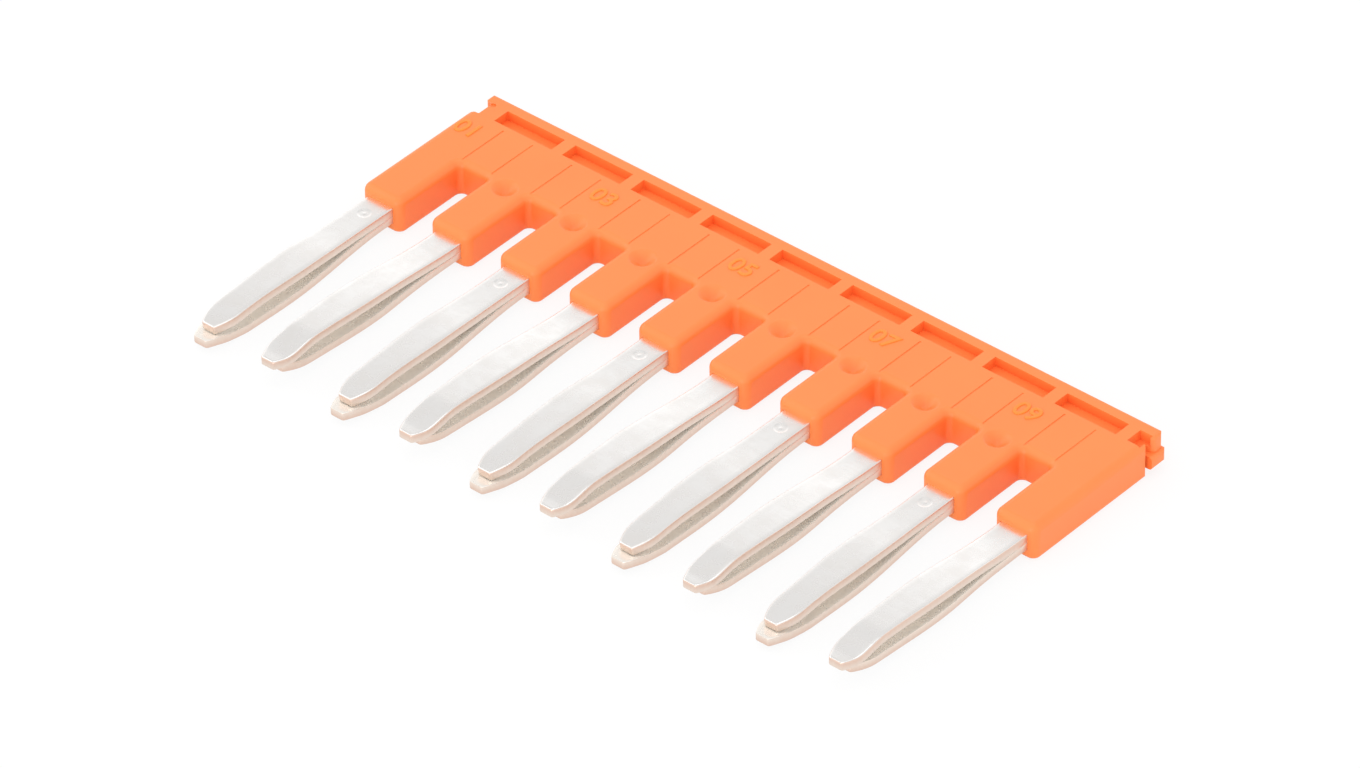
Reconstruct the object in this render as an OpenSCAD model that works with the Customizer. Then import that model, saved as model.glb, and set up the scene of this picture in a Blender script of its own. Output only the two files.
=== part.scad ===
// Plug-in jumper bar for a row of rail-mounted terminal blocks: two copper contact combs
// lie back to back in one moulded housing, and their spring legs come out of its fingers.
// X runs along the bar, Y from the legs to the back rail, and Z up from the underside.

/* [Row of poles] */
// Number of poles
poles = 10; // [2:2:12]
// Distance from one pole to the next
pitch = 6.1; // [5.6:0.1:8]

/* [Housing] */
// Thickness of the housing
housing_t = 2.8; // [2.7:0.1:3.4]
// Width of a finger
finger_w = 3.5; // [3.3:0.1:4.4]
// Length of a finger in front of the web
finger_len = 6.1; // [5:0.1:9]
// Length of the web, from the fingers to the rail pockets
web_len = 4.95; // [4.5:0.05:7]
// Radius along the upper edges of the fingers and of the web front
edge_top_r = 0.6; // [0.3:0.05:0.6]
// Radius along the lower edges of the fingers and of the web front
edge_bottom_r = 0.4; // [0.2:0.05:0.6]
// Radius of the upright corners at the front of a finger
corner_r = 0.65; // [0.65:0.05:0.9]
// Radius of the upright corners where a finger meets the web
root_r = 0.4; // [0.1:0.05:0.5]

/* [Web] */
// Width of the score line that runs on from each side of a finger
score_w = 0.12; // [0.06:0.02:0.2]
// Depth of a score line
score_depth = 0.05; // [0.03:0.01:0.15]
// Distance from the end of a score line to the rail pockets
score_stop = 0.45; // [0.2:0.05:1]
// Diameter of the round tapered recess at the root of each inner finger
recess_d = 1.9; // [1.2:0.05:2.2]
// Diameter of the floor of that recess
recess_floor_d = 0.4; // [0.2:0.05:0.8]
// Depth of that recess
recess_depth = 0.58; // [0.3:0.02:0.62]
// Distance from the centre of that recess to the web front
recess_back = 0.3; // [0:0.05:1]

/* [Back rail] */
// Length of a rail pocket, front to back
pocket_len = 1.4; // [1:0.05:2]
// Depth of a rail pocket
pocket_depth = 0.75; // [0.4:0.05:1.1]
// Width of the rib between two pockets
rib_w = 0.96; // [0.6:0.02:1.6]
// Thickness of the wall behind the pockets
back_wall = 0.95; // [0.7:0.05:1.5]
// Radius along the upper edges of the rail
rail_r = 0.3; // [0.15:0.05:0.45]

/* [Rail ends] */
// How far the notch cuts in from the side of the end finger
notch_in = 0.85; // [0.5:0.05:1]
// Length of the notch at the left end, front to back
left_notch = 1.5; // [0.6:0.05:1.8]
// Length of the notch at the right end, front to back
right_notch = 0.55; // [0.5:0.05:1.5]
// Radius of the shoulder in front of the left notch
left_shoulder_r = 0.65; // [0.3:0.05:0.9]
// Radius of the shoulder in front of the right notch
right_shoulder_r = 0.35; // [0.2:0.05:0.7]
// Radius of the inner corner where a notch begins
notch_r = 0.1; // [0.05:0.05:0.2]
// Length of the left nub, behind its notch
left_nub = 0.9; // [0.9:0.05:1.2]
// Length of the right nub, behind its notch
right_nub = 1.25; // [1.05:0.05:1.5]
// Largest radius of the corners of a nub, and of the inner corner in front of it
nub_r = 0.6; // [0.2:0.05:0.6]
// Height of the underside of a nub
nub_low = 0.6; // [0.3:0.05:0.8]
// How far the left nub stays inside the side of its end finger
left_nub_in = 0.14; // [0:0.02:0.3]
// How far the lower half of a nub stands past its upper half
nub_step = 0.28; // [0.1:0.02:0.4]
// How much further forward the lower half of the right nub reaches
nub_more = 0.4; // [0:0.05:0.4]
// Height of the top of the lower halves
nub_lip_h = 1.6; // [1.4:0.1:2]
// Wall left between the short pocket and the right end of the rail
end_wall = 0.25; // [0.2:0.05:0.6]
// Diameter of the dimple in the left end of the rail
dimple_d = 0.45; // [0.2:0.05:0.45]
// Depth of that dimple
dimple_depth = 0.12; // [0.06:0.02:0.5]
// Distance from the centre of that dimple to the side of the left finger
dimple_in = 1; // [1:0.05:1.2]
// Distance from the centre of that dimple to the back of the rail
dimple_back = 1.1; // [0.9:0.05:1.2]

/* [Contact combs] */
// Thickness of the copper sheet
sheet_t = 0.64; // [0.5:0.02:0.8]
// Width of a leg at its root, inside the finger
leg_root_w = 2.26; // [1.8:0.02:2.6]
// Width of a leg at its belly
leg_belly_w = 2.54; // [2.2:0.02:3]
// Place of the belly along the sides of a leg, from the root at 0 to the nose at 1
leg_belly_at = 0.58; // [0.4:0.02:0.7]
// Width of a leg where its nose starts to taper
leg_shoulder_w = 2.2; // [1.8:0.02:2.4]
// Width of a leg at its tip
leg_tip_w = 1.08; // [0.8:0.02:1.4]
// Length of the tapered nose
leg_nose_len = 2; // [1.4:0.1:2.6]
// Length of a long leg in front of the housing
long_leg = 17.9; // [15:0.1:22]
// How much shorter the short legs are
short_by = 0.9; // [0.7:0.05:1.2]
// Width of the spine that joins the legs
spine_w = 3; // [2:0.1:3.4]
// Distance from the web front to the spine
spine_in = 0.75; // [0.5:0.05:1]

/* [Spring form] */
// Straight length of a leg as it leaves the housing
leg_straight = 0.3; // [0.1:0.1:1.5]
// How far a long leg bows away from the other comb
long_bow = 0.73; // [0.4:0.01:0.74]
// Place of the top of that bow, as a share of the leg
long_bow_at = 0.79; // [0.7:0.01:0.8]
// How far the nose of a long leg stays away from the middle plane
nose_off = 0.3; // [0.28:0.01:0.45]
// Length of the flat end of that nose
nose_flat = 0.8; // [0.4:0.1:1]
// How far a short leg bows away from the other comb
short_bow = 0.2; // [0.1:0.02:0.4]
// Place of the top of that bow, as a share of the leg
short_bow_at = 0.52; // [0.4:0.01:0.6]
// How far the end of a short leg turns in past the middle plane
turn_in = 0.26; // [0.2:0.01:0.27]
// Diameter of the coined dot at the root of each short leg
dot_d = 1.15; // [0.8:0.05:1.6]
// Depth of the coined dot
dot_depth = 0.05; // [0.02:0.01:0.1]
// Distance from the housing to the centre of the dot
dot_out = 1.6; // [0.9:0.1:3]

/* [Hidden] */
web_y = finger_len;
pocket_y = web_y + web_len;
back_y = pocket_y + pocket_len + back_wall;
left_back = back_y - left_nub - left_notch + notch_r;
right_back = back_y - right_nub - right_notch + notch_r;
mid_z = housing_t / 2;
half_row = (poles - 1) * pitch / 2;
end_x = half_row + finger_w / 2;
notch_x = end_x - notch_in;
spine_y = web_y + spine_in;
short_leg = long_leg - short_by;
belly_skew = ln(0.5) / ln(leg_belly_at);
arc_steps = 6;
form_steps = 20;
plan_steps = 8;
quarter_facets = 6;
over = 1;

function pole_x(i) = i * pitch - half_row;
function polar(r, a) = r * [cos(a), sin(a)];
function arc(centre, r, from, to) = [
    for (k = [0 : arc_steps]) centre + polar(r, from + (to - from) * k / arc_steps)
];
function mirrored(points) = [for (k = [len(points) - 1 : -1 : 0]) [-points[k][0], points[k][1]]];
function bezier(a, b, c, d, t) =
    (1 - t) ^ 3 * a + 3 * t * (1 - t) ^ 2 * b + 3 * t ^ 2 * (1 - t) * c + t ^ 3 * d;

// A rectangle with one radius on its upper corners and another on its lower ones
function rounded(low, high, r_top, r_bottom) = concat(
    arc([high[0] - r_bottom, low[1] + r_bottom], r_bottom, -90, 0),
    arc([high[0] - r_top, high[1] - r_top], r_top, 0, 90),
    arc([low[0] + r_top, high[1] - r_top], r_top, 90, 180),
    arc([low[0] + r_bottom, low[1] + r_bottom], r_bottom, 180, 270)
);

module along_x(from, to) {
    translate([from, 0, 0])
        rotate([90, 0, 90])
            linear_extrude(to - from)
                children();
}

module along_y(from, to) {
    translate([0, to, 0])
        rotate([90, 0, 0])
            linear_extrude(to - from)
                children();
}

// Housing

// One end of the rail: its shoulder, its notch, and a nub that reaches out past the notch
function end_outline(nub_len, notch_len, out, shoulder_r) =
    let (
        nub_y = back_y - nub_len,
        notch_y = nub_y - notch_len,
        side_r = min(shoulder_r, notch_in - notch_r),
        back_r = min(nub_r, nub_len / 2),
        front_r = min(back_r, (notch_in + out) / 2, notch_len - notch_r)
    )
    concat(
        arc([end_x - side_r, notch_y - side_r], side_r, 0, 90),
        arc([notch_x + notch_r, notch_y + notch_r], notch_r, 270, 180),
        arc([notch_x + front_r, nub_y - front_r], front_r, 180, 90),
        arc([end_x + out - front_r, nub_y + front_r], front_r, 270, 360),
        arc([end_x + out - back_r, back_y - back_r], back_r, 0, 90)
    );

module housing_plan(left_out, right_out, more) {
    polygon(concat(
        [[-end_x, 0], [end_x, 0]],
        end_outline(right_nub + more, right_notch - more, right_out, right_shoulder_r),
        mirrored(end_outline(left_nub, left_notch, left_out, left_shoulder_r))
    ));
}

// The edge radii run round the front of a finger, through two quarters of a turned corner.
// The end fingers run on into the notches of the rail, to left_back and right_back.
module finger(x, back) {
    side = x + finger_w / 2;
    along_y(corner_r, back)
        polygon(rounded([x - finger_w / 2, 0], [side, housing_t], edge_top_r, edge_bottom_r));
    along_x(x - finger_w / 2 + corner_r, side - corner_r)
        intersection() {
            polygon(rounded([0, 0], [web_y, housing_t], edge_top_r, edge_bottom_r));
            square([corner_r, housing_t]);
        }
    for (turn = [0, 1])
        translate([x + (2 * turn - 1) * (finger_w / 2 - corner_r), corner_r, 0])
            rotate(180 + 90 * turn)
                rotate_extrude(angle = 90, $fn = 4 * quarter_facets)
                    intersection() {
                        polygon(rounded([-corner_r, 0], [corner_r, housing_t], edge_top_r, edge_bottom_r));
                        square([corner_r, housing_t]);
                    }
}

module fingers() {
    for (i = [0 : poles - 1])
        finger(pole_x(i), i == 0 ? left_back : i == poles - 1 ? right_back : web_y + over);
}

// What fills the upright corners between the fingers and the web, under the same edge radii
module roots() {
    reach = root_r + edge_top_r;
    for (i = [0 : poles - 2], turn = [0, 1])
        translate([pole_x(i + turn) - (2 * turn - 1) * (finger_w / 2 + root_r), web_y - root_r, 0])
            difference() {
                translate([(turn - 1) * reach, 0, 0])
                    cube([reach, reach, housing_t]);
                rotate_extrude($fn = 4 * quarter_facets)
                    polygon(root_section());
            }
}

// The open space beside such a corner: half its section, which flares at both faces
function root_section() = concat(
    [[0, -over], [root_r + edge_bottom_r, -over]],
    arc([root_r + edge_bottom_r, edge_bottom_r], edge_bottom_r, -90, -180),
    arc([root_r + edge_top_r, housing_t - edge_top_r], edge_top_r, 180, 90),
    [[root_r + edge_top_r, housing_t + over], [0, housing_t + over]]
);

module web() {
    along_x(-half_row, half_row)
        polygon(rounded([web_y, 0], [back_y, housing_t], edge_top_r, edge_bottom_r));
}

module rail_section(low, high, half_length) {
    along_x(-half_length, half_length)
        polygon(rounded([pocket_y - over, low], [back_y, high], rail_r, rail_r));
}

// One level of the two nubs, which end the rail and stand clear of its underside
module nubs(left_out, right_out, more, low, high) {
    intersection() {
        rail_section(low, high, end_x + over);
        along_y(pocket_y - over, back_y + over)
            polygon(rounded([-end_x - left_out, low], [end_x + right_out, high], rail_r, rail_r));
        linear_extrude(high)
            housing_plan(left_out, right_out, more);
        union() {
            translate([0, right_back, 0])
                cube(end_x + over);
            translate([-end_x - over, left_back, 0])
                cube(end_x + over);
        }
    }
}

module blank() {
    intersection() {
        union() {
            fingers();
            roots();
            web();
            rail_section(0, housing_t, notch_x);
        }
        linear_extrude(housing_t)
            housing_plan(0, 0, 0);
    }
    nubs(-left_nub_in, 0, 0, nub_low, housing_t);
    nubs(nub_step - left_nub_in, nub_step, nub_more, nub_low, nub_lip_h);
}

module pockets() {
    for (i = [0 : poles - 1]) {
        from = pole_x(i) + rib_w / 2;
        to = i < poles - 1 ? pole_x(i + 1) - rib_w / 2 : end_x - end_wall;
        translate([from, pocket_y, housing_t - pocket_depth])
            cube([to - from, pocket_len, pocket_depth + over]);
    }
}

module scores() {
    for (i = [0 : poles - 2], x = [pole_x(i) + finger_w / 2, pole_x(i + 1) - finger_w / 2])
        translate([x - score_w / 2, web_y - over, housing_t - score_depth])
            cube([score_w, web_len - score_stop + over, score_depth + over]);
}

module recesses() {
    for (i = [1 : poles - 2])
        translate([pole_x(i), web_y - recess_back, housing_t - recess_depth])
            rotate_extrude($fn = 48)
                polygon([
                    [0, 0], [recess_floor_d / 2, 0], [recess_d / 2, recess_depth],
                    [recess_d / 2, recess_depth + over], [0, recess_depth + over]
                ]);
}

module dimple() {
    translate([dimple_in - end_x, back_y - dimple_back, housing_t - dimple_depth])
        cylinder(d = dimple_d, h = dimple_depth + over, $fn = 24);
}

module housing() {
    color([1, 0.5, 0.2])
        difference() {
            blank();
            pockets();
            scores();
            recesses();
            dimple();
            translate([0, 0, mid_z - sheet_t])
                linear_extrude(2 * sheet_t)
                    root_plan();
        }
}

// Contact comb, one stamping used twice

// The part of the comb inside the housing, which the housing is moulded round
module root_plan() {
    for (i = [0 : poles - 1])
        translate([pole_x(i) - leg_root_w / 2, 0])
            square([leg_root_w, spine_y + spine_w / 2]);
    translate([-half_row - leg_root_w / 2, spine_y])
        square([2 * half_row + leg_root_w, spine_w]);
}

// Half the width of a leg at a distance from the housing: root, belly, then nose
function belly(u) = sin(180 * u ^ belly_skew) ^ 3;
function side_w(u) = leg_root_w + (leg_shoulder_w - leg_root_w) * u
    + (leg_belly_w - (leg_root_w + leg_shoulder_w) / 2) * belly(u);
function nose_w(u) = leg_shoulder_w - (leg_shoulder_w - leg_tip_w) * u ^ 2;

function leg_side(length) = concat(
    [for (k = [0 : plan_steps]) [side_w(k / plan_steps) / 2, -(length - leg_nose_len) * k / plan_steps]],
    [for (k = [1 : plan_steps]) [nose_w(k / plan_steps) / 2, leg_nose_len * (1 - k / plan_steps) - length]]
);

module leg_plan(length) {
    polygon(concat(leg_side(length), mirrored(leg_side(length))));
}

// The inner face of a leg: how far it is from the middle plane, at a distance from the housing.
// Each half of it is a curve that leaves and arrives flat, apart from the end of a short leg.
function long_rise(t) = bezier(
    [leg_straight, 0], [long_leg * 0.23, 0],
    [long_leg * 0.345, long_bow], [long_leg * long_bow_at, long_bow], t
);
function long_fall(t) = bezier(
    [long_leg * long_bow_at, long_bow], [long_leg * 0.83, long_bow],
    [long_leg * 0.92, nose_off], [long_leg - nose_flat, nose_off], t
);
function short_rise(t) = bezier(
    [leg_straight, 0], [short_leg * 0.38, 0],
    [short_leg * 0.36, short_bow], [short_leg * short_bow_at, short_bow], t
);
function short_fall(t) = bezier(
    [short_leg * short_bow_at, short_bow], [short_leg * 0.76, short_bow],
    [short_leg * 0.9, 0], [short_leg, -turn_in], t
);
function long_form(t) = t < 0.5 ? long_rise(2 * t) : long_fall(2 * t - 1);
function short_form(t) = t < 0.5 ? short_rise(2 * t) : short_fall(2 * t - 1);

function slope(points, k) = points[min(k + 1, len(points) - 1)] - points[max(k - 1, 0)];
function outer(points) = [for (k = [len(points) - 1 : -1 : 0])
    let (d = slope(points, k) / norm(slope(points, k))) points[k] + sheet_t * [-d[1], d[0]]];

module leg_profile(form) {
    inner = concat([[-over, 0], [0, 0]], form);
    polygon([for (p = concat(inner, outer(inner))) [-p[0], mid_z + p[1]]]);
}

module leg_set(first, length, form) {
    intersection() {
        translate([0, 0, -housing_t])
            linear_extrude(3 * housing_t)
                for (i = [first : 2 : poles - 1])
                    translate([pole_x(i), 0])
                        leg_plan(length);
        along_x(-end_x, end_x)
            leg_profile(form);
    }
}

module dots() {
    for (i = [0 : 2 : poles - 1])
        translate([pole_x(i), -dot_out, mid_z + sheet_t - dot_depth])
            cylinder(d = dot_d, h = dot_depth + over, $fn = 32);
}

module contact_comb() {
    steps = [for (k = [0 : form_steps]) k / form_steps];
    color([0.86, 0.85, 0.84])
        difference() {
            union() {
                translate([0, 0, mid_z])
                    linear_extrude(sheet_t)
                        root_plan();
                leg_set(1, long_leg, concat([for (t = steps) long_form(t)], [[long_leg + over, nose_off]]));
                leg_set(0, short_leg, [for (t = steps) short_form(t)]);
            }
            dots();
        }
}

module contact_comb_upper() {
    contact_comb();
}

// The second comb is the first one turned over, end for end
module contact_comb_lower() {
    translate([0, 0, housing_t])
        rotate([0, 180, 0])
            contact_comb();
}

housing();
contact_comb_upper();
contact_comb_lower();
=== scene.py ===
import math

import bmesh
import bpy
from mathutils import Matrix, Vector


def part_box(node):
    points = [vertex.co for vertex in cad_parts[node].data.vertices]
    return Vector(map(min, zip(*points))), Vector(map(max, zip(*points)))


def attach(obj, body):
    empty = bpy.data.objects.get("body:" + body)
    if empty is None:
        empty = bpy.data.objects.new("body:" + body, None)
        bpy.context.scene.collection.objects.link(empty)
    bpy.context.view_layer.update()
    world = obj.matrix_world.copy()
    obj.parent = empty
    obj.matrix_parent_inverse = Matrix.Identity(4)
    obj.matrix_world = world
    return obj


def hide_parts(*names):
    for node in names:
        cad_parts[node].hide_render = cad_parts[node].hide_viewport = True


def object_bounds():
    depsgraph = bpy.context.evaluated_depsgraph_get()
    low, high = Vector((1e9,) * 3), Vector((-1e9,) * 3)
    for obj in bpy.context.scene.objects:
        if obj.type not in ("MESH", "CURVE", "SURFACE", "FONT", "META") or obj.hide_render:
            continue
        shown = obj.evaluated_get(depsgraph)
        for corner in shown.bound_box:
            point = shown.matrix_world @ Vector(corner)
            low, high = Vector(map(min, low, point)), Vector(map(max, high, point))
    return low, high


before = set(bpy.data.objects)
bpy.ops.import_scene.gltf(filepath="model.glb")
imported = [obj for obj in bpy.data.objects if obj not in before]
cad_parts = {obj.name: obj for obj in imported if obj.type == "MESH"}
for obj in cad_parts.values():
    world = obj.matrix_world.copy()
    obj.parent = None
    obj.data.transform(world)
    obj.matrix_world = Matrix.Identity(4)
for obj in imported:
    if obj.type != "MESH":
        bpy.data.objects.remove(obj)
cad_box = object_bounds()

# %% [markdown]
# A plug-in jumper bar for rail-mounted terminal blocks. Two stamped copper combs lie back to
# back in one orange moulding, and their spring legs come out of its ten fingers. This lesson
# dresses the construction model: first the view and the light, then the two combs, formed leg
# by leg as a press tool would, then the moulding with its soft rims, and last the finishes.

MM = 0.001
size = (cad_box[1] - cad_box[0]) / MM
print(f"construction model: {size.x:.2f} x {size.y:.2f} x {size.z:.2f} mm")

# %% [markdown]
# The photograph was taken with a long lens from in front, right and above. The camera stands
# where the bar's vanishing lines put it, so that every finger covers its own place in the frame.

# %% Camera
FRAME_W = 1360
FOCAL_PX = 10331
SENSOR_MM = 36
AZIMUTH, ELEVATION, ROLL = 41.297, 37.797, -1.0
CAMERA_MM = Vector((354.44, -404.56, 417.36))

bpy.ops.object.camera_add()
camera = bpy.context.object
camera.data.sensor_width = SENSOR_MM
camera.data.lens = FOCAL_PX * SENSOR_MM / FRAME_W
camera.matrix_world = (
    Matrix.Translation(CAMERA_MM * MM)
    @ Matrix.Rotation(math.radians(AZIMUTH), 4, "Z")
    @ Matrix.Rotation(math.radians(90 - ELEVATION), 4, "X")
    @ Matrix.Rotation(math.radians(ROLL), 4, "Z")
)
bpy.context.scene.camera = camera
bpy.context.scene.view_settings.view_transform = "Standard"
print(f"lens {camera.data.lens:.1f} mm, {(CAMERA_MM * MM).length:.2f} m from the bar")

# %% [markdown]
# Materials are written as sRGB hex values, the way a colour card gives them. One function turns
# them to the linear numbers that shaders take, and one adds a node with its settings and links.

# %% Colour and node helpers
def linear(hex_colour):
    """Linear red, green, blue and a full alpha, from an sRGB hex value."""
    channels = [int(hex_colour[k:k + 2], 16) / 255 for k in (1, 3, 5)]
    return [c / 12.92 if c <= 0.04045 else ((c + 0.055) / 1.055) ** 2.4 for c in channels] + [1]


def add_node(tree, kind, inputs=None, **settings):
    """Adds one node: settings are its own, inputs are values or the sockets that feed it."""
    node = tree.nodes.new(kind)
    for name, value in settings.items():
        setattr(node, name, value)
    for name, value in (inputs or {}).items():
        if isinstance(value, bpy.types.NodeSocket):
            tree.links.new(value, node.inputs[name])
        else:
            node.inputs[name].default_value = value
    return node


def new_material(name):
    """An empty node material and its output node."""
    material = bpy.data.materials.new(name)
    material.use_nodes = True
    material.node_tree.nodes.clear()
    return material, add_node(material.node_tree, "ShaderNodeOutputMaterial")


# %% [markdown]
# The set is a white sweep under a light tent, which lights the bar nearly alike from all sides.
# The camera sees white by Light Path. The metal mirrors a tent that is white at the horizon and
# a little greyer overhead, which draws the bends of the legs. The light on the bar itself stays
# plain, so that an orange renders as it is written, and the floor keeps a part of its shadow.

# %% World
SKY_ON_OBJECT = 0.92
TENT_LOW, TENT_HIGH = 1.18, 0.76
BAND_FROM, BAND_TO = 0.40, 0.70

world = bpy.data.worlds.new("white_studio")
world.use_nodes = True
bpy.context.scene.world = world
tree = world.node_tree
tree.nodes.clear()
seen = add_node(tree, "ShaderNodeLightPath")
by_eye = add_node(tree, "ShaderNodeMath", {
    0: seen.outputs["Is Camera Ray"], 1: seen.outputs["Is Transmission Ray"]}, operation="MAXIMUM")
direction = add_node(tree, "ShaderNodeTexCoord").outputs["Generated"]
height = add_node(tree, "ShaderNodeSeparateXYZ", {"Vector": direction}).outputs["Z"]
tent = add_node(tree, "ShaderNodeMapRange", {
    "Value": height, "From Min": BAND_FROM, "From Max": BAND_TO,
    "To Min": TENT_LOW, "To Max": TENT_HIGH}, interpolation_type="SMOOTHSTEP")
mirrored = add_node(tree, "ShaderNodeMapRange", {
    "Value": seen.outputs["Is Glossy Ray"], "To Min": SKY_ON_OBJECT,
    "To Max": tent.outputs["Result"]})
level = add_node(tree, "ShaderNodeMapRange", {
    "Value": by_eye.outputs[0], "To Min": mirrored.outputs["Result"], "To Max": 1.0})
sky = add_node(tree, "ShaderNodeBackground", {
    "Color": linear("#FFFFFF"), "Strength": level.outputs["Result"]})
add_node(tree, "ShaderNodeOutputWorld", {"Surface": sky.outputs["Background"]})
print("world strength on the bar:", SKY_ON_OBJECT)

# %% Floor
FLOOR_SIZE, FLOOR_SHADE = 3, 0.15

bpy.ops.mesh.primitive_plane_add(size=FLOOR_SIZE)
floor = bpy.context.object
floor.name = "floor"
paper, output = new_material("white_paper_sweep")
tree = paper.node_tree
seen = add_node(tree, "ShaderNodeLightPath")
by_glass = add_node(tree, "ShaderNodeMath", {
    0: seen.outputs["Is Glossy Ray"], 1: seen.outputs["Is Transmission Ray"]}, operation="MAXIMUM")
by_any = add_node(tree, "ShaderNodeMath", {
    0: seen.outputs["Is Camera Ray"], 1: by_glass.outputs[0]}, operation="MAXIMUM")
share = add_node(tree, "ShaderNodeMath", {
    0: by_any.outputs[0], 1: 1 - FLOOR_SHADE}, operation="MULTIPLY")
shaded = add_node(tree, "ShaderNodeBsdfDiffuse", {"Color": linear("#FAFAFA")})
white = add_node(tree, "ShaderNodeEmission", {"Color": linear("#FFFFFF")})
mixed = add_node(tree, "ShaderNodeMixShader", {
    0: share.outputs[0], 1: shaded.outputs[0], 2: white.outputs[0]})
tree.links.new(mixed.outputs[0], output.inputs["Surface"])
floor.data.materials.append(paper)
print("floor shows", FLOOR_SHADE, "of its shading")

# %% Softboxes
def softbox(name, place, watts, side):
    """A square lamp that looks at the middle of the bar."""
    bpy.ops.object.light_add(type="AREA", location=place)
    lamp = bpy.context.object
    lamp.name = name
    lamp.data.energy = watts
    lamp.data.size = side
    lamp.rotation_euler = (-Vector(place)).to_track_quat("-Z", "Y").to_euler()
    return lamp


softbox("softbox_left", (-0.60, -0.25, 0.45), 0.8, 0.5)
softbox("softbox_right", (0.45, -0.45, 0.45), 0.4, 0.6)
softbox("softbox_front", (0.10, -0.75, 0.20), 1.2, 0.4)
softbox("softbox_top", (0.0, 0.0, 0.80), 0.7, 0.5)
print("four softboxes")

# %% [markdown]
# Everything below is modelled in edit mode, as by hand. Operators act on what is selected, so
# one helper clears the selection and takes up a single piece, and another picks vertices,
# edges or faces by a test of their place or their normal.

# %% Selection helpers
def take(piece):
    """Leaves edit mode, deselects everything, and makes one piece active and selected."""
    if bpy.context.object and bpy.context.object.mode != "OBJECT":
        bpy.ops.object.mode_set(mode="OBJECT")
    bpy.ops.object.select_all(action="DESELECT")
    piece.select_set(True)
    bpy.context.view_layer.objects.active = piece
    return piece


def pick(kind, test):
    """In edit mode, selects only the vertices, edges or faces that pass a test."""
    bpy.ops.mesh.select_mode(type=kind)
    bpy.ops.mesh.select_all(action="DESELECT")
    mesh = bpy.context.object.data
    form = bmesh.from_edit_mesh(mesh)
    parts = {"VERT": form.verts, "EDGE": form.edges, "FACE": form.faces}[kind]
    found = [part for part in parts if test(part)]
    for part in found:
        part.select_set(True)
    form.select_flush_mode()
    bmesh.update_edit_mesh(mesh)
    return len(found)


def apply_modifier(piece, kind, **settings):
    """Adds a modifier to a piece and applies it."""
    take(piece)
    modifier = piece.modifiers.new(kind.lower(), kind)
    for name, value in settings.items():
        setattr(modifier, name, value)
    bpy.ops.object.modifier_apply(modifier=modifier.name)


def apply_place(piece):
    """Puts a piece's place, turn and scale into its mesh, and its object at the origin."""
    take(piece)
    bpy.ops.object.transform_apply(location=True, rotation=True, scale=True)


# %% [markdown]
# A leg is cut from 0.64 mm copper strip and then bent twice: it bows away from the other comb
# and comes back to it at the nose, which gives the pair its spring. In plan it swells to a
# belly and tapers to a blunt nose. Both are written as functions of the distance from the
# housing, so that each row of faces can ask for its height and its width.

# %% Sizes of the combs, in millimetres
POLES = 10
PITCH = 6.1
SHEET_T = 0.64
ROOT_W, BELLY_W, SHOULDER_W, TIP_W = 2.26, 2.54, 2.2, 1.08
BELLY_AT = 0.58
NOSE_LEN = 2.0
SPINE_FRONT, SPINE_W = 6.85, 3.0
SHORT_BY = 0.9
LONG_LEG = -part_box("contact_comb_upper")[0].y / MM
SHORT_LEG = LONG_LEG - SHORT_BY
MID_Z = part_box("housing")[1].z / MM / 2
HALF_ROW = (POLES - 1) * PITCH / 2
print(f"legs of {LONG_LEG:.1f} and {SHORT_LEG:.1f} mm, middle plane at {MID_Z:.2f} mm")


# %% Spring forms: handles as (distance from the housing, height of the inner face)
STRAIGHT = 0.3
LONG_BOW, LONG_BOW_AT, NOSE_OFF, NOSE_FLAT = 0.73, 0.79 * LONG_LEG, 0.3, 0.8
SHORT_BOW, SHORT_BOW_AT, TURN_IN = 0.2, 0.52 * SHORT_LEG, 0.26

LONG_FORM = [
    [(STRAIGHT, 0), (0.23 * LONG_LEG, 0), (0.345 * LONG_LEG, LONG_BOW), (LONG_BOW_AT, LONG_BOW)],
    [(LONG_BOW_AT, LONG_BOW), (0.83 * LONG_LEG, LONG_BOW),
     (0.92 * LONG_LEG, NOSE_OFF), (LONG_LEG - NOSE_FLAT, NOSE_OFF)],
]
SHORT_FORM = [
    [(STRAIGHT, 0), (0.38 * SHORT_LEG, 0), (0.36 * SHORT_LEG, SHORT_BOW), (SHORT_BOW_AT, SHORT_BOW)],
    [(SHORT_BOW_AT, SHORT_BOW), (0.76 * SHORT_LEG, SHORT_BOW),
     (0.9 * SHORT_LEG, 0), (SHORT_LEG, -TURN_IN)],
]


def bezier(handles, axis, t):
    """One coordinate of a cubic curve."""
    a, b, c, d = (handle[axis] for handle in handles)
    s = 1 - t
    return s ** 3 * a + 3 * s * s * t * b + 3 * s * t * t * c + t ** 3 * d


def height_at(form, distance):
    """Height of a leg's inner face over the middle plane, by halving the curve's span."""
    if distance <= form[0][0][0]:
        return 0.0
    for handles in form:
        if distance <= handles[3][0]:
            low, high = 0.0, 1.0
            for _ in range(30):
                middle = (low + high) / 2
                if bezier(handles, 0, middle) < distance:
                    low = middle
                else:
                    high = middle
            return bezier(handles, 1, low)
    return form[-1][3][1]


def width_at(length, distance):
    """Width of a leg: its root, its belly, then the taper of its nose."""
    side = length - NOSE_LEN
    if distance <= side:
        u = max(distance, 0) / side
        belly = math.sin(math.pi * u ** (math.log(0.5) / math.log(BELLY_AT))) ** 3
        return ROOT_W + (SHOULDER_W - ROOT_W) * u + (BELLY_W - (ROOT_W + SHOULDER_W) / 2) * belly
    return SHOULDER_W - (SHOULDER_W - TIP_W) * ((distance - side) / NOSE_LEN) ** 2


print(f"a long leg bows {height_at(LONG_FORM, 0.7 * LONG_LEG):.2f} mm at seven tenths")

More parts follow.
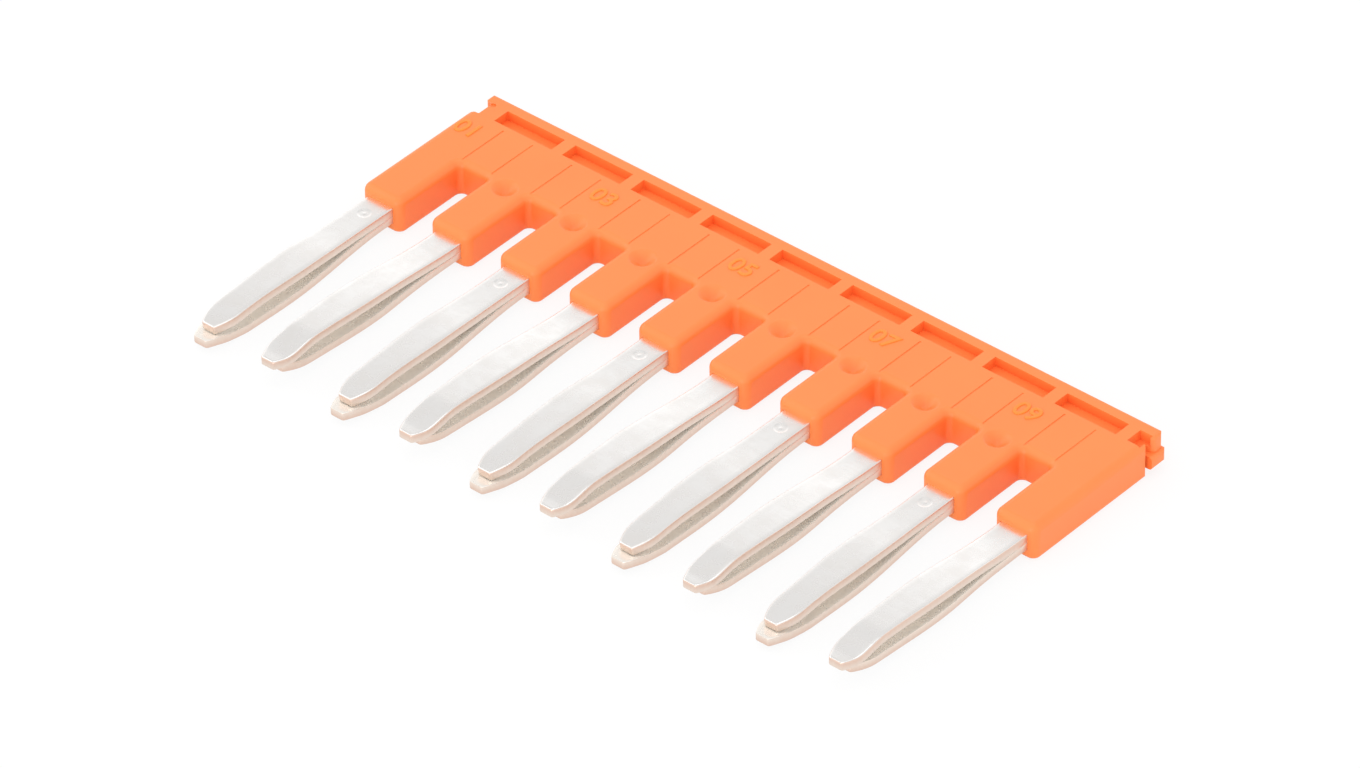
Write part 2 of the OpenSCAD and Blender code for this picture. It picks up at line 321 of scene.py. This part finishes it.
# %% [markdown]
# The leg is drawn as a single sheet, its inner face: a grid for the piece of spine behind it,
# whose front edge is extruded row after row, lifted along the spring form and resized to the
# plan. That is how a hand would do it, and it leaves an even mesh with no cuts to clean up.

# %% One leg, extruded from its piece of spine
COLUMNS, SPINE_ROWS = 6, 4
SIDE_ROWS, NOSE_ROWS = 30, 8


def leg_rows(length):
    """Distances of the rows of faces, from the spine to the tip."""
    side = length - NOSE_LEN
    inside = [-SPINE_FRONT * 0.5, 0]
    return inside + [side * k / SIDE_ROWS for k in range(1, SIDE_ROWS + 1)] + [
        side + NOSE_LEN * k / NOSE_ROWS for k in range(1, NOSE_ROWS + 1)]


def draw_leg(name, length, form):
    """The inner face of one leg and of the spine behind it, at x = 0."""
    bpy.ops.mesh.primitive_grid_add(
        x_subdivisions=COLUMNS, y_subdivisions=SPINE_ROWS, size=MM,
        location=(0, (SPINE_FRONT + SPINE_W / 2) * MM, MID_Z * MM))
    leg = bpy.context.object
    leg.name = name
    leg.scale = (ROOT_W, SPINE_W, 1)
    apply_place(leg)
    bpy.ops.object.mode_set(mode="EDIT")
    pick("EDGE", lambda e: all(v.co.y < (SPINE_FRONT + 0.01) * MM for v in e.verts))
    before, height, width = -SPINE_FRONT, 0.0, ROOT_W
    for distance in leg_rows(length):
        rise = height_at(form, distance)
        wide = width_at(length, distance)
        bpy.ops.mesh.extrude_region_move(TRANSFORM_OT_translate={
            "value": (0, (before - distance) * MM, (rise - height) * MM)})
        bpy.ops.transform.resize(
            value=(wide / width, 1, 1),
            center_override=(0, -distance * MM, (MID_Z + rise) * MM))
        before, height, width = distance, rise, wide
    bpy.ops.object.mode_set(mode="OBJECT")
    return leg


long_leg = draw_leg("long_leg", LONG_LEG, LONG_FORM)
short_leg = draw_leg("short_leg", SHORT_LEG, SHORT_FORM)
for leg in (long_leg, short_leg):
    low = min(v.co.y for v in leg.data.vertices) / MM
    print(leg.name, len(leg.data.polygons), f"faces, tip at {low:.2f} mm")

# %% [markdown]
# On the real strip long and short legs take turns, so that in the bar each long leg of one comb
# faces a short leg of the other. The two legs are copied along the row, each copy with its own
# mesh, joined, and the pieces of spine are bridged into one strip.

# %% The comb as one sheet
def copy_at(source, x):
    """A copy with its own mesh, moved along the row."""
    copy = bpy.data.objects.new(source.name, source.data.copy())
    bpy.context.scene.collection.objects.link(copy)
    copy.location.x = x * MM
    apply_place(copy)
    return copy


def pole_x(i):
    """Place of a pole along the row."""
    return i * PITCH - HALF_ROW


legs = [copy_at(short_leg if i % 2 == 0 else long_leg, pole_x(i)) for i in range(POLES)]
for spare in (long_leg, short_leg):
    bpy.data.objects.remove(spare)
comb = take(legs[0])
comb.name = "contact_comb_a"
for leg in legs[1:]:
    leg.select_set(True)
bpy.ops.object.join()
bpy.ops.object.mode_set(mode="EDIT")


def facing(edge, i):
    """Whether an edge of the spine lies on the gap between pole i and the next."""
    sides = (pole_x(i) + ROOT_W / 2, pole_x(i + 1) - ROOT_W / 2)
    return all(
        v.co.y > (SPINE_FRONT - 0.01) * MM and any(abs(v.co.x / MM - x) < 0.01 for x in sides)
        for v in edge.verts)


for i in range(POLES - 1):
    pick("EDGE", lambda e: facing(e, i))
    bpy.ops.mesh.bridge_edge_loops()
bpy.ops.object.mode_set(mode="OBJECT")
print("comb sheet:", len(comb.data.polygons), "faces")

# %% [markdown]
# Solidify gives the sheet its thickness on the side away from the other comb, and the rim its
# own material, because a cut edge isn't plated. A vertex group marks the inner skin: it becomes
# an attribute that runs from 0 there to 1 outside, across the cut, and the edge's finish reads it.

# %% Thickness, with the cut edge marked
up = sum(face.normal.z * face.area for face in comb.data.polygons)
if up < 0:
    take(comb)
    bpy.ops.object.mode_set(mode="EDIT")
    bpy.ops.mesh.select_all(action="SELECT")
    bpy.ops.mesh.flip_normals()
    bpy.ops.object.mode_set(mode="OBJECT")

for slot_name in ("plating_stand_in", "cut_stand_in"):
    comb.data.materials.append(bpy.data.materials.new(slot_name))
inner = comb.vertex_groups.new(name="inner_skin")
inner.add(range(len(comb.data.vertices)), 0.0, "REPLACE")
apply_modifier(
    comb, "SOLIDIFY", thickness=SHEET_T * MM, offset=1, use_even_offset=True,
    use_rim=True, material_offset_rim=1, shell_vertex_group=inner.name)

levels = [1 - vertex.groups[0].weight for vertex in comb.data.vertices]
comb.vertex_groups.clear()
comb.data.attributes.new("across", "FLOAT", "POINT").data.foreach_set("value", levels)
top = max(v.co.z for v in comb.data.vertices) / MM
print(f"solid comb: {len(comb.data.polygons)} faces, highest point {top:.2f} mm")
print(f"outer skin: {sum(levels):.0f} of {len(levels)} vertices")

# %% [markdown]
# Shearing rolls the punch side of a strip over and leaves a fine burr-free corner on the other.
# So the outer corners get a wide round, the inner ones a narrow one, and the blunt tip's upright
# corners are broken first, so that the rounds can run on over them. The part inside the housing
# keeps its square section, and fills its opening.

# %% Rolled and broken edges
TIP_BREAK, ROLL_OVER, INNER_BREAK = 0.12, 0.13, 0.04


def cut_corner(edge, wanted):
    """Whether a sharp edge lies on the outer skin (2), the inner skin (0) or between them (1)."""
    layer = bmesh.from_edit_mesh(comb.data).verts.layers.float["across"]
    level = sum(round(v[layer]) for v in edge.verts)
    outside = all(v.co.y < 0.01 * MM for v in edge.verts)
    return outside and edge.calc_face_angle() > math.radians(50) and level == wanted


take(comb)
bpy.ops.object.mode_set(mode="EDIT")
for wanted, offset, segments in ((1, TIP_BREAK, 3), (2, ROLL_OVER, 4), (0, INNER_BREAK, 2)):
    count = pick("EDGE", lambda e: cut_corner(e, wanted))
    bpy.ops.mesh.bevel(offset=offset * MM, segments=segments, affect="EDGES", clamp_overlap=True)
    print(f"{count} edges rounded by {offset} mm")
bpy.ops.object.mode_set(mode="OBJECT")

# %% [markdown]
# Each short leg carries a coined dot near its root, struck by the tool that marks the tested
# parts: a shallow round dish with a small point left standing in its middle. The faces there
# are divided finely and their vertices pushed in along a formula.

# %% Coined dots
DOT_OUT, DOT_R, DOT_DEPTH, DOT_WALL = 1.6, 0.5, 0.03, 0.12
POINT_R = 0.16
DOT_REACH = 0.85


def dot_drop(r):
    """How deep the dish lies under the leg's skin, at a distance from its centre."""
    wall = min(max((DOT_R - r) / DOT_WALL, 0), 1)
    point = min(max((POINT_R - r) / (POINT_R / 2), 0), 1)
    return DOT_DEPTH * (wall * wall * (3 - 2 * wall) - 0.5 * point * point * (3 - 2 * point))


def near_dot(place, reach):
    """Distance from the nearest coined dot, if the place is on the outer skin beside one."""
    if place.z / MM < MID_Z + SHEET_T / 2:
        return None
    nearest = min(
        math.hypot(place.x / MM - pole_x(i), place.y / MM + DOT_OUT) for i in range(0, POLES, 2))
    return nearest if nearest < reach else None


take(comb)
bpy.ops.object.mode_set(mode="EDIT")
count = pick("FACE", lambda f: near_dot(f.calc_center_median(), DOT_REACH) is not None)
bpy.ops.mesh.subdivide(number_cuts=7)
form = bmesh.from_edit_mesh(comb.data)
for vertex in form.verts:
    r = near_dot(vertex.co, DOT_R)
    if r is not None:
        vertex.co.z -= dot_drop(r) * MM
bmesh.update_edit_mesh(comb.data)
bpy.ops.object.mode_set(mode="OBJECT")
print(count, "faces divided for the dots")

# %% [markdown]
# The second comb is the same stamping turned over about the direction of the legs.

# %% Second comb
comb_b = bpy.data.objects.new("contact_comb_b", comb.data.copy())
bpy.context.scene.collection.objects.link(comb_b)
comb_b.matrix_world = Matrix.Translation((0, 0, 2 * MID_Z * MM)) @ Matrix.Rotation(math.pi, 4, "Y")
apply_place(comb_b)
for piece in (comb, comb_b):
    take(piece)
    bpy.ops.object.shade_smooth_by_angle(angle=math.radians(40))
    apply_modifier(piece, "WEIGHTED_NORMAL", keep_sharp=True, weight=80)
    print(piece.name, len(piece.data.polygons), "faces")

# %% [markdown]
# The moulding has its exact outline already, so its shell is a copy of the construction mesh,
# merged into one skin. What a mould gives and a drawing leaves out is softness: every rim of a
# pocket, a recess and a score line has a small round, each group with its own. The normals that
# came with the copy are cleared afterwards, because they belong to the mesh before its rounds.

# %% Shell of the moulding
cad_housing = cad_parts["housing"]
shell = bpy.data.objects.new("housing_moulding", cad_housing.data.copy())
bpy.context.scene.collection.objects.link(shell)
take(shell)
bpy.ops.object.mode_set(mode="EDIT")
bpy.ops.mesh.select_all(action="SELECT")
bpy.ops.mesh.remove_doubles(threshold=0.002 * MM)
bpy.ops.mesh.dissolve_limited(angle_limit=math.radians(0.5))
bpy.ops.object.mode_set(mode="OBJECT")
print("shell:", len(shell.data.polygons), "faces after merging")

# %% Soft rims, group by group
FINGER_W, WEB_Y = 3.5, 6.1
POCKET_Y, POCKET_LEN, POCKET_DEPTH = 11.05, 1.4, 0.75
SHELL_T = 2 * MID_Z
RECESS_Y, RECESS_R, RECESS_FLOOR_R, RECESS_DEPTH = 5.8, 0.95, 0.2, 0.58
SCORE_W, SCORE_STOP = 0.12, 0.45
POCKET_ROUND, RECESS_ROUND, SCORE_ROUND = 0.1, 0.12, 0.04
NEAR = 0.01


def sharp(edge):
    """Whether two faces meet at the edge more steeply than in any of the rounded fillets."""
    return edge.is_manifold and edge.calc_face_angle() > math.radians(40)


def in_pocket(edge):
    """Edges of the rail pockets: their rims, upright corners and floors."""
    return sharp(edge) and all(
        v.co.y > (POCKET_Y - NEAR) * MM and v.co.y < (POCKET_Y + POCKET_LEN + NEAR) * MM
        and v.co.z > (SHELL_T - POCKET_DEPTH - NEAR) * MM for v in edge.verts)


def in_recess(edge):
    """The rim and the floor's corner of the tapered recesses at the finger roots."""
    for v in edge.verts:
        r = min(math.hypot(v.co.x / MM - pole_x(i), v.co.y / MM - RECESS_Y)
                for i in range(1, POLES - 1))
        on_rim = abs(r - RECESS_R) < 0.02 and abs(v.co.z / MM - SHELL_T) < 0.01
        on_floor = abs(r - RECESS_FLOOR_R) < 0.02 and abs(v.co.z / MM - SHELL_T + RECESS_DEPTH) < 0.01
        if not (on_rim or on_floor):
            return False
    return edge.calc_face_angle() > math.radians(20)


def in_score(edge):
    """The two long rims of each score line, on the flat top of the web."""
    return sharp(edge) and all(
        abs(v.co.z / MM - SHELL_T) < 0.01 and WEB_Y + 0.5 < v.co.y / MM < POCKET_Y - SCORE_STOP + 0.01
        and min(abs(abs(v.co.x / MM - pole_x(i)) - FINGER_W / 2) for i in range(POLES))
        < SCORE_W / 2 + 0.01 for v in edge.verts)


take(shell)
bpy.ops.object.mode_set(mode="EDIT")
for what, test, offset, segments in (
        ("pocket", in_pocket, POCKET_ROUND, 3), ("recess", in_recess, RECESS_ROUND, 3),
        ("score", in_score, SCORE_ROUND, 2)):
    count = pick("EDGE", test)
    bpy.ops.mesh.bevel(offset=offset * MM, segments=segments, affect="EDGES", clamp_overlap=True)
    print(f"{count} {what} edges rounded by {offset} mm")
bpy.ops.object.mode_set(mode="OBJECT")
bpy.ops.mesh.customdata_custom_splitnormals_clear()
bpy.ops.object.shade_smooth_by_angle(angle=math.radians(40))
apply_modifier(shell, "WEIGHTED_NORMAL", keep_sharp=True, weight=80)
print("shell:", len(shell.data.polygons), "faces")

# %% [markdown]
# The odd poles carry small raised marks. Plain pole numbers stand in their place, as low relief
# with rounded shoulders, the way engraving in a mould leaves them.

# %% Pole numbers
NUMBER_SIZE, NUMBER_RISE, NUMBER_ROUND = 2.0, 0.06, 0.045
NUMBER_X, NUMBER_Y = -0.3, 9.2


def pole_number(pole):
    """The number of one pole, as a mesh that stands on the web."""
    x = pole_x(pole - 1) + NUMBER_X
    bpy.ops.object.text_add(location=(x * MM, NUMBER_Y * MM, SHELL_T * MM))
    text = bpy.context.object
    text.data.body = f"{pole:02d}"
    text.data.size = NUMBER_SIZE * MM
    text.data.align_x = "CENTER"
    text.data.align_y = "CENTER"
    text.data.extrude = NUMBER_RISE / 2 * MM
    text.data.bevel_depth = NUMBER_ROUND * MM
    text.data.bevel_resolution = 2
    take(text)
    bpy.ops.object.convert(target="MESH")
    apply_place(text)
    return text


numbers = [pole_number(pole) for pole in range(1, POLES, 2)]
pole_numbers = take(numbers[0])
for number in numbers[1:]:
    number.select_set(True)
bpy.ops.object.join()
pole_numbers.name = "pole_numbers"
bpy.ops.object.mode_set(mode="EDIT")
bpy.ops.mesh.select_all(action="SELECT")
bpy.ops.mesh.remove_doubles(threshold=0.0005 * MM)
bpy.ops.object.mode_set(mode="OBJECT")
bpy.ops.object.shade_smooth_by_angle(angle=math.radians(40))
print("numbers:", len(pole_numbers.data.polygons), "faces")

# %% [markdown]
# Polyamide 6.6 with orange pigment, injection moulded against a finely eroded steel mould. To
# the eye it is a solid, satin orange with soft highlights. Flow and pigment vary it by a percent
# or two, over millimetres. The numbers get their own pair of colours, deeper and yellower than
# the skin around them at the same roughness: painted light, less white sheen on the raised marks.

# %% Finish of the moulding
def moulded_polyamide(name, dark, light):
    """Orange polyamide, satin from an eroded mould, between two close shades."""
    material, output = new_material(name)
    tree = material.node_tree
    place = add_node(tree, "ShaderNodeTexCoord").outputs["Object"]
    flow = add_node(tree, "ShaderNodeTexNoise", {
        "Vector": place, "Scale": 1 / (4 * MM), "Detail": 3.0, "Roughness": 0.5})
    colour = add_node(tree, "ShaderNodeMix", {
        "Factor": flow.outputs["Fac"], "A": linear(dark), "B": linear(light)},
        data_type="RGBA")
    grain = add_node(tree, "ShaderNodeTexNoise", {
        "Vector": place, "Scale": 1 / (0.12 * MM), "Detail": 2.0, "Roughness": 0.6})
    bump = add_node(tree, "ShaderNodeBump", {
        "Height": grain.outputs["Fac"], "Strength": 0.15, "Distance": 0.01 * MM})
    gloss = add_node(tree, "ShaderNodeMapRange", {
        "Value": flow.outputs["Fac"], "To Min": 0.38, "To Max": 0.5})
    plastic = add_node(tree, "ShaderNodeBsdfPrincipled", {
        "Base Color": colour.outputs[2], "Roughness": gloss.outputs["Result"], "IOR": 1.53,
        "Normal": bump.outputs["Normal"]})
    tree.links.new(plastic.outputs["BSDF"], output.inputs["Surface"])
    return material


for piece, name, dark, light in (
        (shell, "moulded_orange_polyamide", "#FF8640", "#FF8C46"),
        # painted light: the numbers' deeper, yellower pair stands in for less white sheen on them
        (pole_numbers, "orange_polyamide_painted_less_sheen", "#FF8A2A", "#FF9032")):
    piece.data.materials.clear()
    piece.data.materials.append(moulded_polyamide(name, dark, light))
    print("finish:", name)

# %% [markdown]
# The strip was tin plated before it was stamped. Matt tin is a pale, slightly cloudy metal with
# soft patches a millimetre across, and the bending tool leaves fine marks across each leg. The
# two combs touch at their inner faces, where the attribute that runs through the sheet makes the
# tin warmer, paler and half as metallic: painted light that brightens the gap between the legs.

# %% Finish of the plated faces
def matt_tin():
    """Matt tin plating over copper strip, with faint crosswise forming marks."""
    material, output = new_material("matt_tin_plating")
    tree = material.node_tree
    place = add_node(tree, "ShaderNodeTexCoord").outputs["Object"]
    cloud = add_node(tree, "ShaderNodeTexNoise", {
        "Vector": place, "Scale": 1 / (1.4 * MM), "Detail": 4.0, "Roughness": 0.55})
    cloudy = add_node(tree, "ShaderNodeMapRange", {
        "Value": cloud.outputs["Fac"], "From Min": 0.35, "From Max": 0.65})
    colour = add_node(tree, "ShaderNodeMix", {
        "Factor": cloudy.outputs["Result"], "A": linear("#F5F2EF"), "B": linear("#FBF9F7")},
        data_type="RGBA")
    through = add_node(tree, "ShaderNodeAttribute", attribute_name="across").outputs["Fac"]
    # painted light: the inner faces turn paler, warmer and half metallic, which lightens the gap
    # between the legs
    shade = add_node(tree, "ShaderNodeMix", {
        "Factor": through, "A": linear("#F6F0E8"), "B": colour.outputs[2]}, data_type="RGBA")
    gap_light_metallic = add_node(tree, "ShaderNodeMapRange", {"Value": through, "To Min": 0.5, "To Max": 1.0})
    stretched = add_node(tree, "ShaderNodeMapping", {"Vector": place, "Scale": (0.15, 1.0, 1.0)})
    marks = add_node(tree, "ShaderNodeTexNoise", {
        "Vector": stretched.outputs["Vector"], "Scale": 1 / (0.4 * MM), "Detail": 1.0})
    bump = add_node(tree, "ShaderNodeBump", {
        "Height": marks.outputs["Fac"], "Strength": 0.2, "Distance": 0.02 * MM})
    dull = add_node(tree, "ShaderNodeMapRange", {
        "Value": cloudy.outputs["Result"], "To Min": 0.30, "To Max": 0.24})
    metal = add_node(tree, "ShaderNodeBsdfPrincipled", {
        "Base Color": shade.outputs[2], "Metallic": gap_light_metallic.outputs["Result"],
        "Roughness": dull.outputs["Result"], "Normal": bump.outputs["Normal"]})
    tree.links.new(metal.outputs["BSDF"], output.inputs["Surface"])
    return material


# %% [markdown]
# A sheared edge shows the copper of the strip, with the plating dragged a little way over it
# from one side. The attribute that runs across the cut places the border between the two, and
# a noise that is drawn out along the shearing direction frays it.

# %% Finish of the cut edges
def sheared_copper():
    """The cut edge of the strip: bare copper, half covered by dragged tin."""
    material, output = new_material("sheared_copper_edge")
    tree = material.node_tree
    place = add_node(tree, "ShaderNodeTexCoord").outputs["Object"]
    through = add_node(tree, "ShaderNodeAttribute", attribute_name="across")
    drawn = add_node(tree, "ShaderNodeMapping", {"Vector": place, "Scale": (1.0, 1.0, 0.2)})
    fray = add_node(tree, "ShaderNodeTexNoise", {
        "Vector": drawn.outputs["Vector"], "Scale": 1 / (0.3 * MM), "Detail": 3.0})
    shifted = add_node(tree, "ShaderNodeMath", {
        0: fray.outputs["Fac"], 1: 0.5, 2: through.outputs["Fac"]}, operation="MULTIPLY_ADD")
    bare = add_node(tree, "ShaderNodeMapRange", {
        "Value": shifted.outputs[0], "From Min": 0.45, "From Max": 1.0})
    colour = add_node(tree, "ShaderNodeMix", {
        "Factor": bare.outputs["Result"], "A": linear("#EDDCCF"), "B": linear("#E6CBBB")},
        data_type="RGBA")
    bump = add_node(tree, "ShaderNodeBump", {
        "Height": fray.outputs["Fac"], "Strength": 0.3, "Distance": 0.02 * MM})
    metal = add_node(tree, "ShaderNodeBsdfPrincipled", {
        "Base Color": colour.outputs[2], "Metallic": 1.0, "Roughness": 0.4,
        "Normal": bump.outputs["Normal"]})
    tree.links.new(metal.outputs["BSDF"], output.inputs["Surface"])
    return material


tin, copper = matt_tin(), sheared_copper()
for piece in (comb, comb_b):
    piece.data.materials[0] = tin
    piece.data.materials[1] = copper
print("finishes:", tin.name, copper.name)

# %% [markdown]
# Each piece rides on the bar's one body, and the combs and the moulding stand in for the
# construction pieces they refine, which are hidden.

# %% Join the pieces to the construction model
for piece, node, slot in (
        (shell, "housing", "housing_polyamide"),
        (comb, "contact_comb_upper", "tinned_copper"),
        (comb_b, "contact_comb_lower", "tinned_copper")):
    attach(piece, "root")
    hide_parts(node)
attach(pole_numbers, "root")
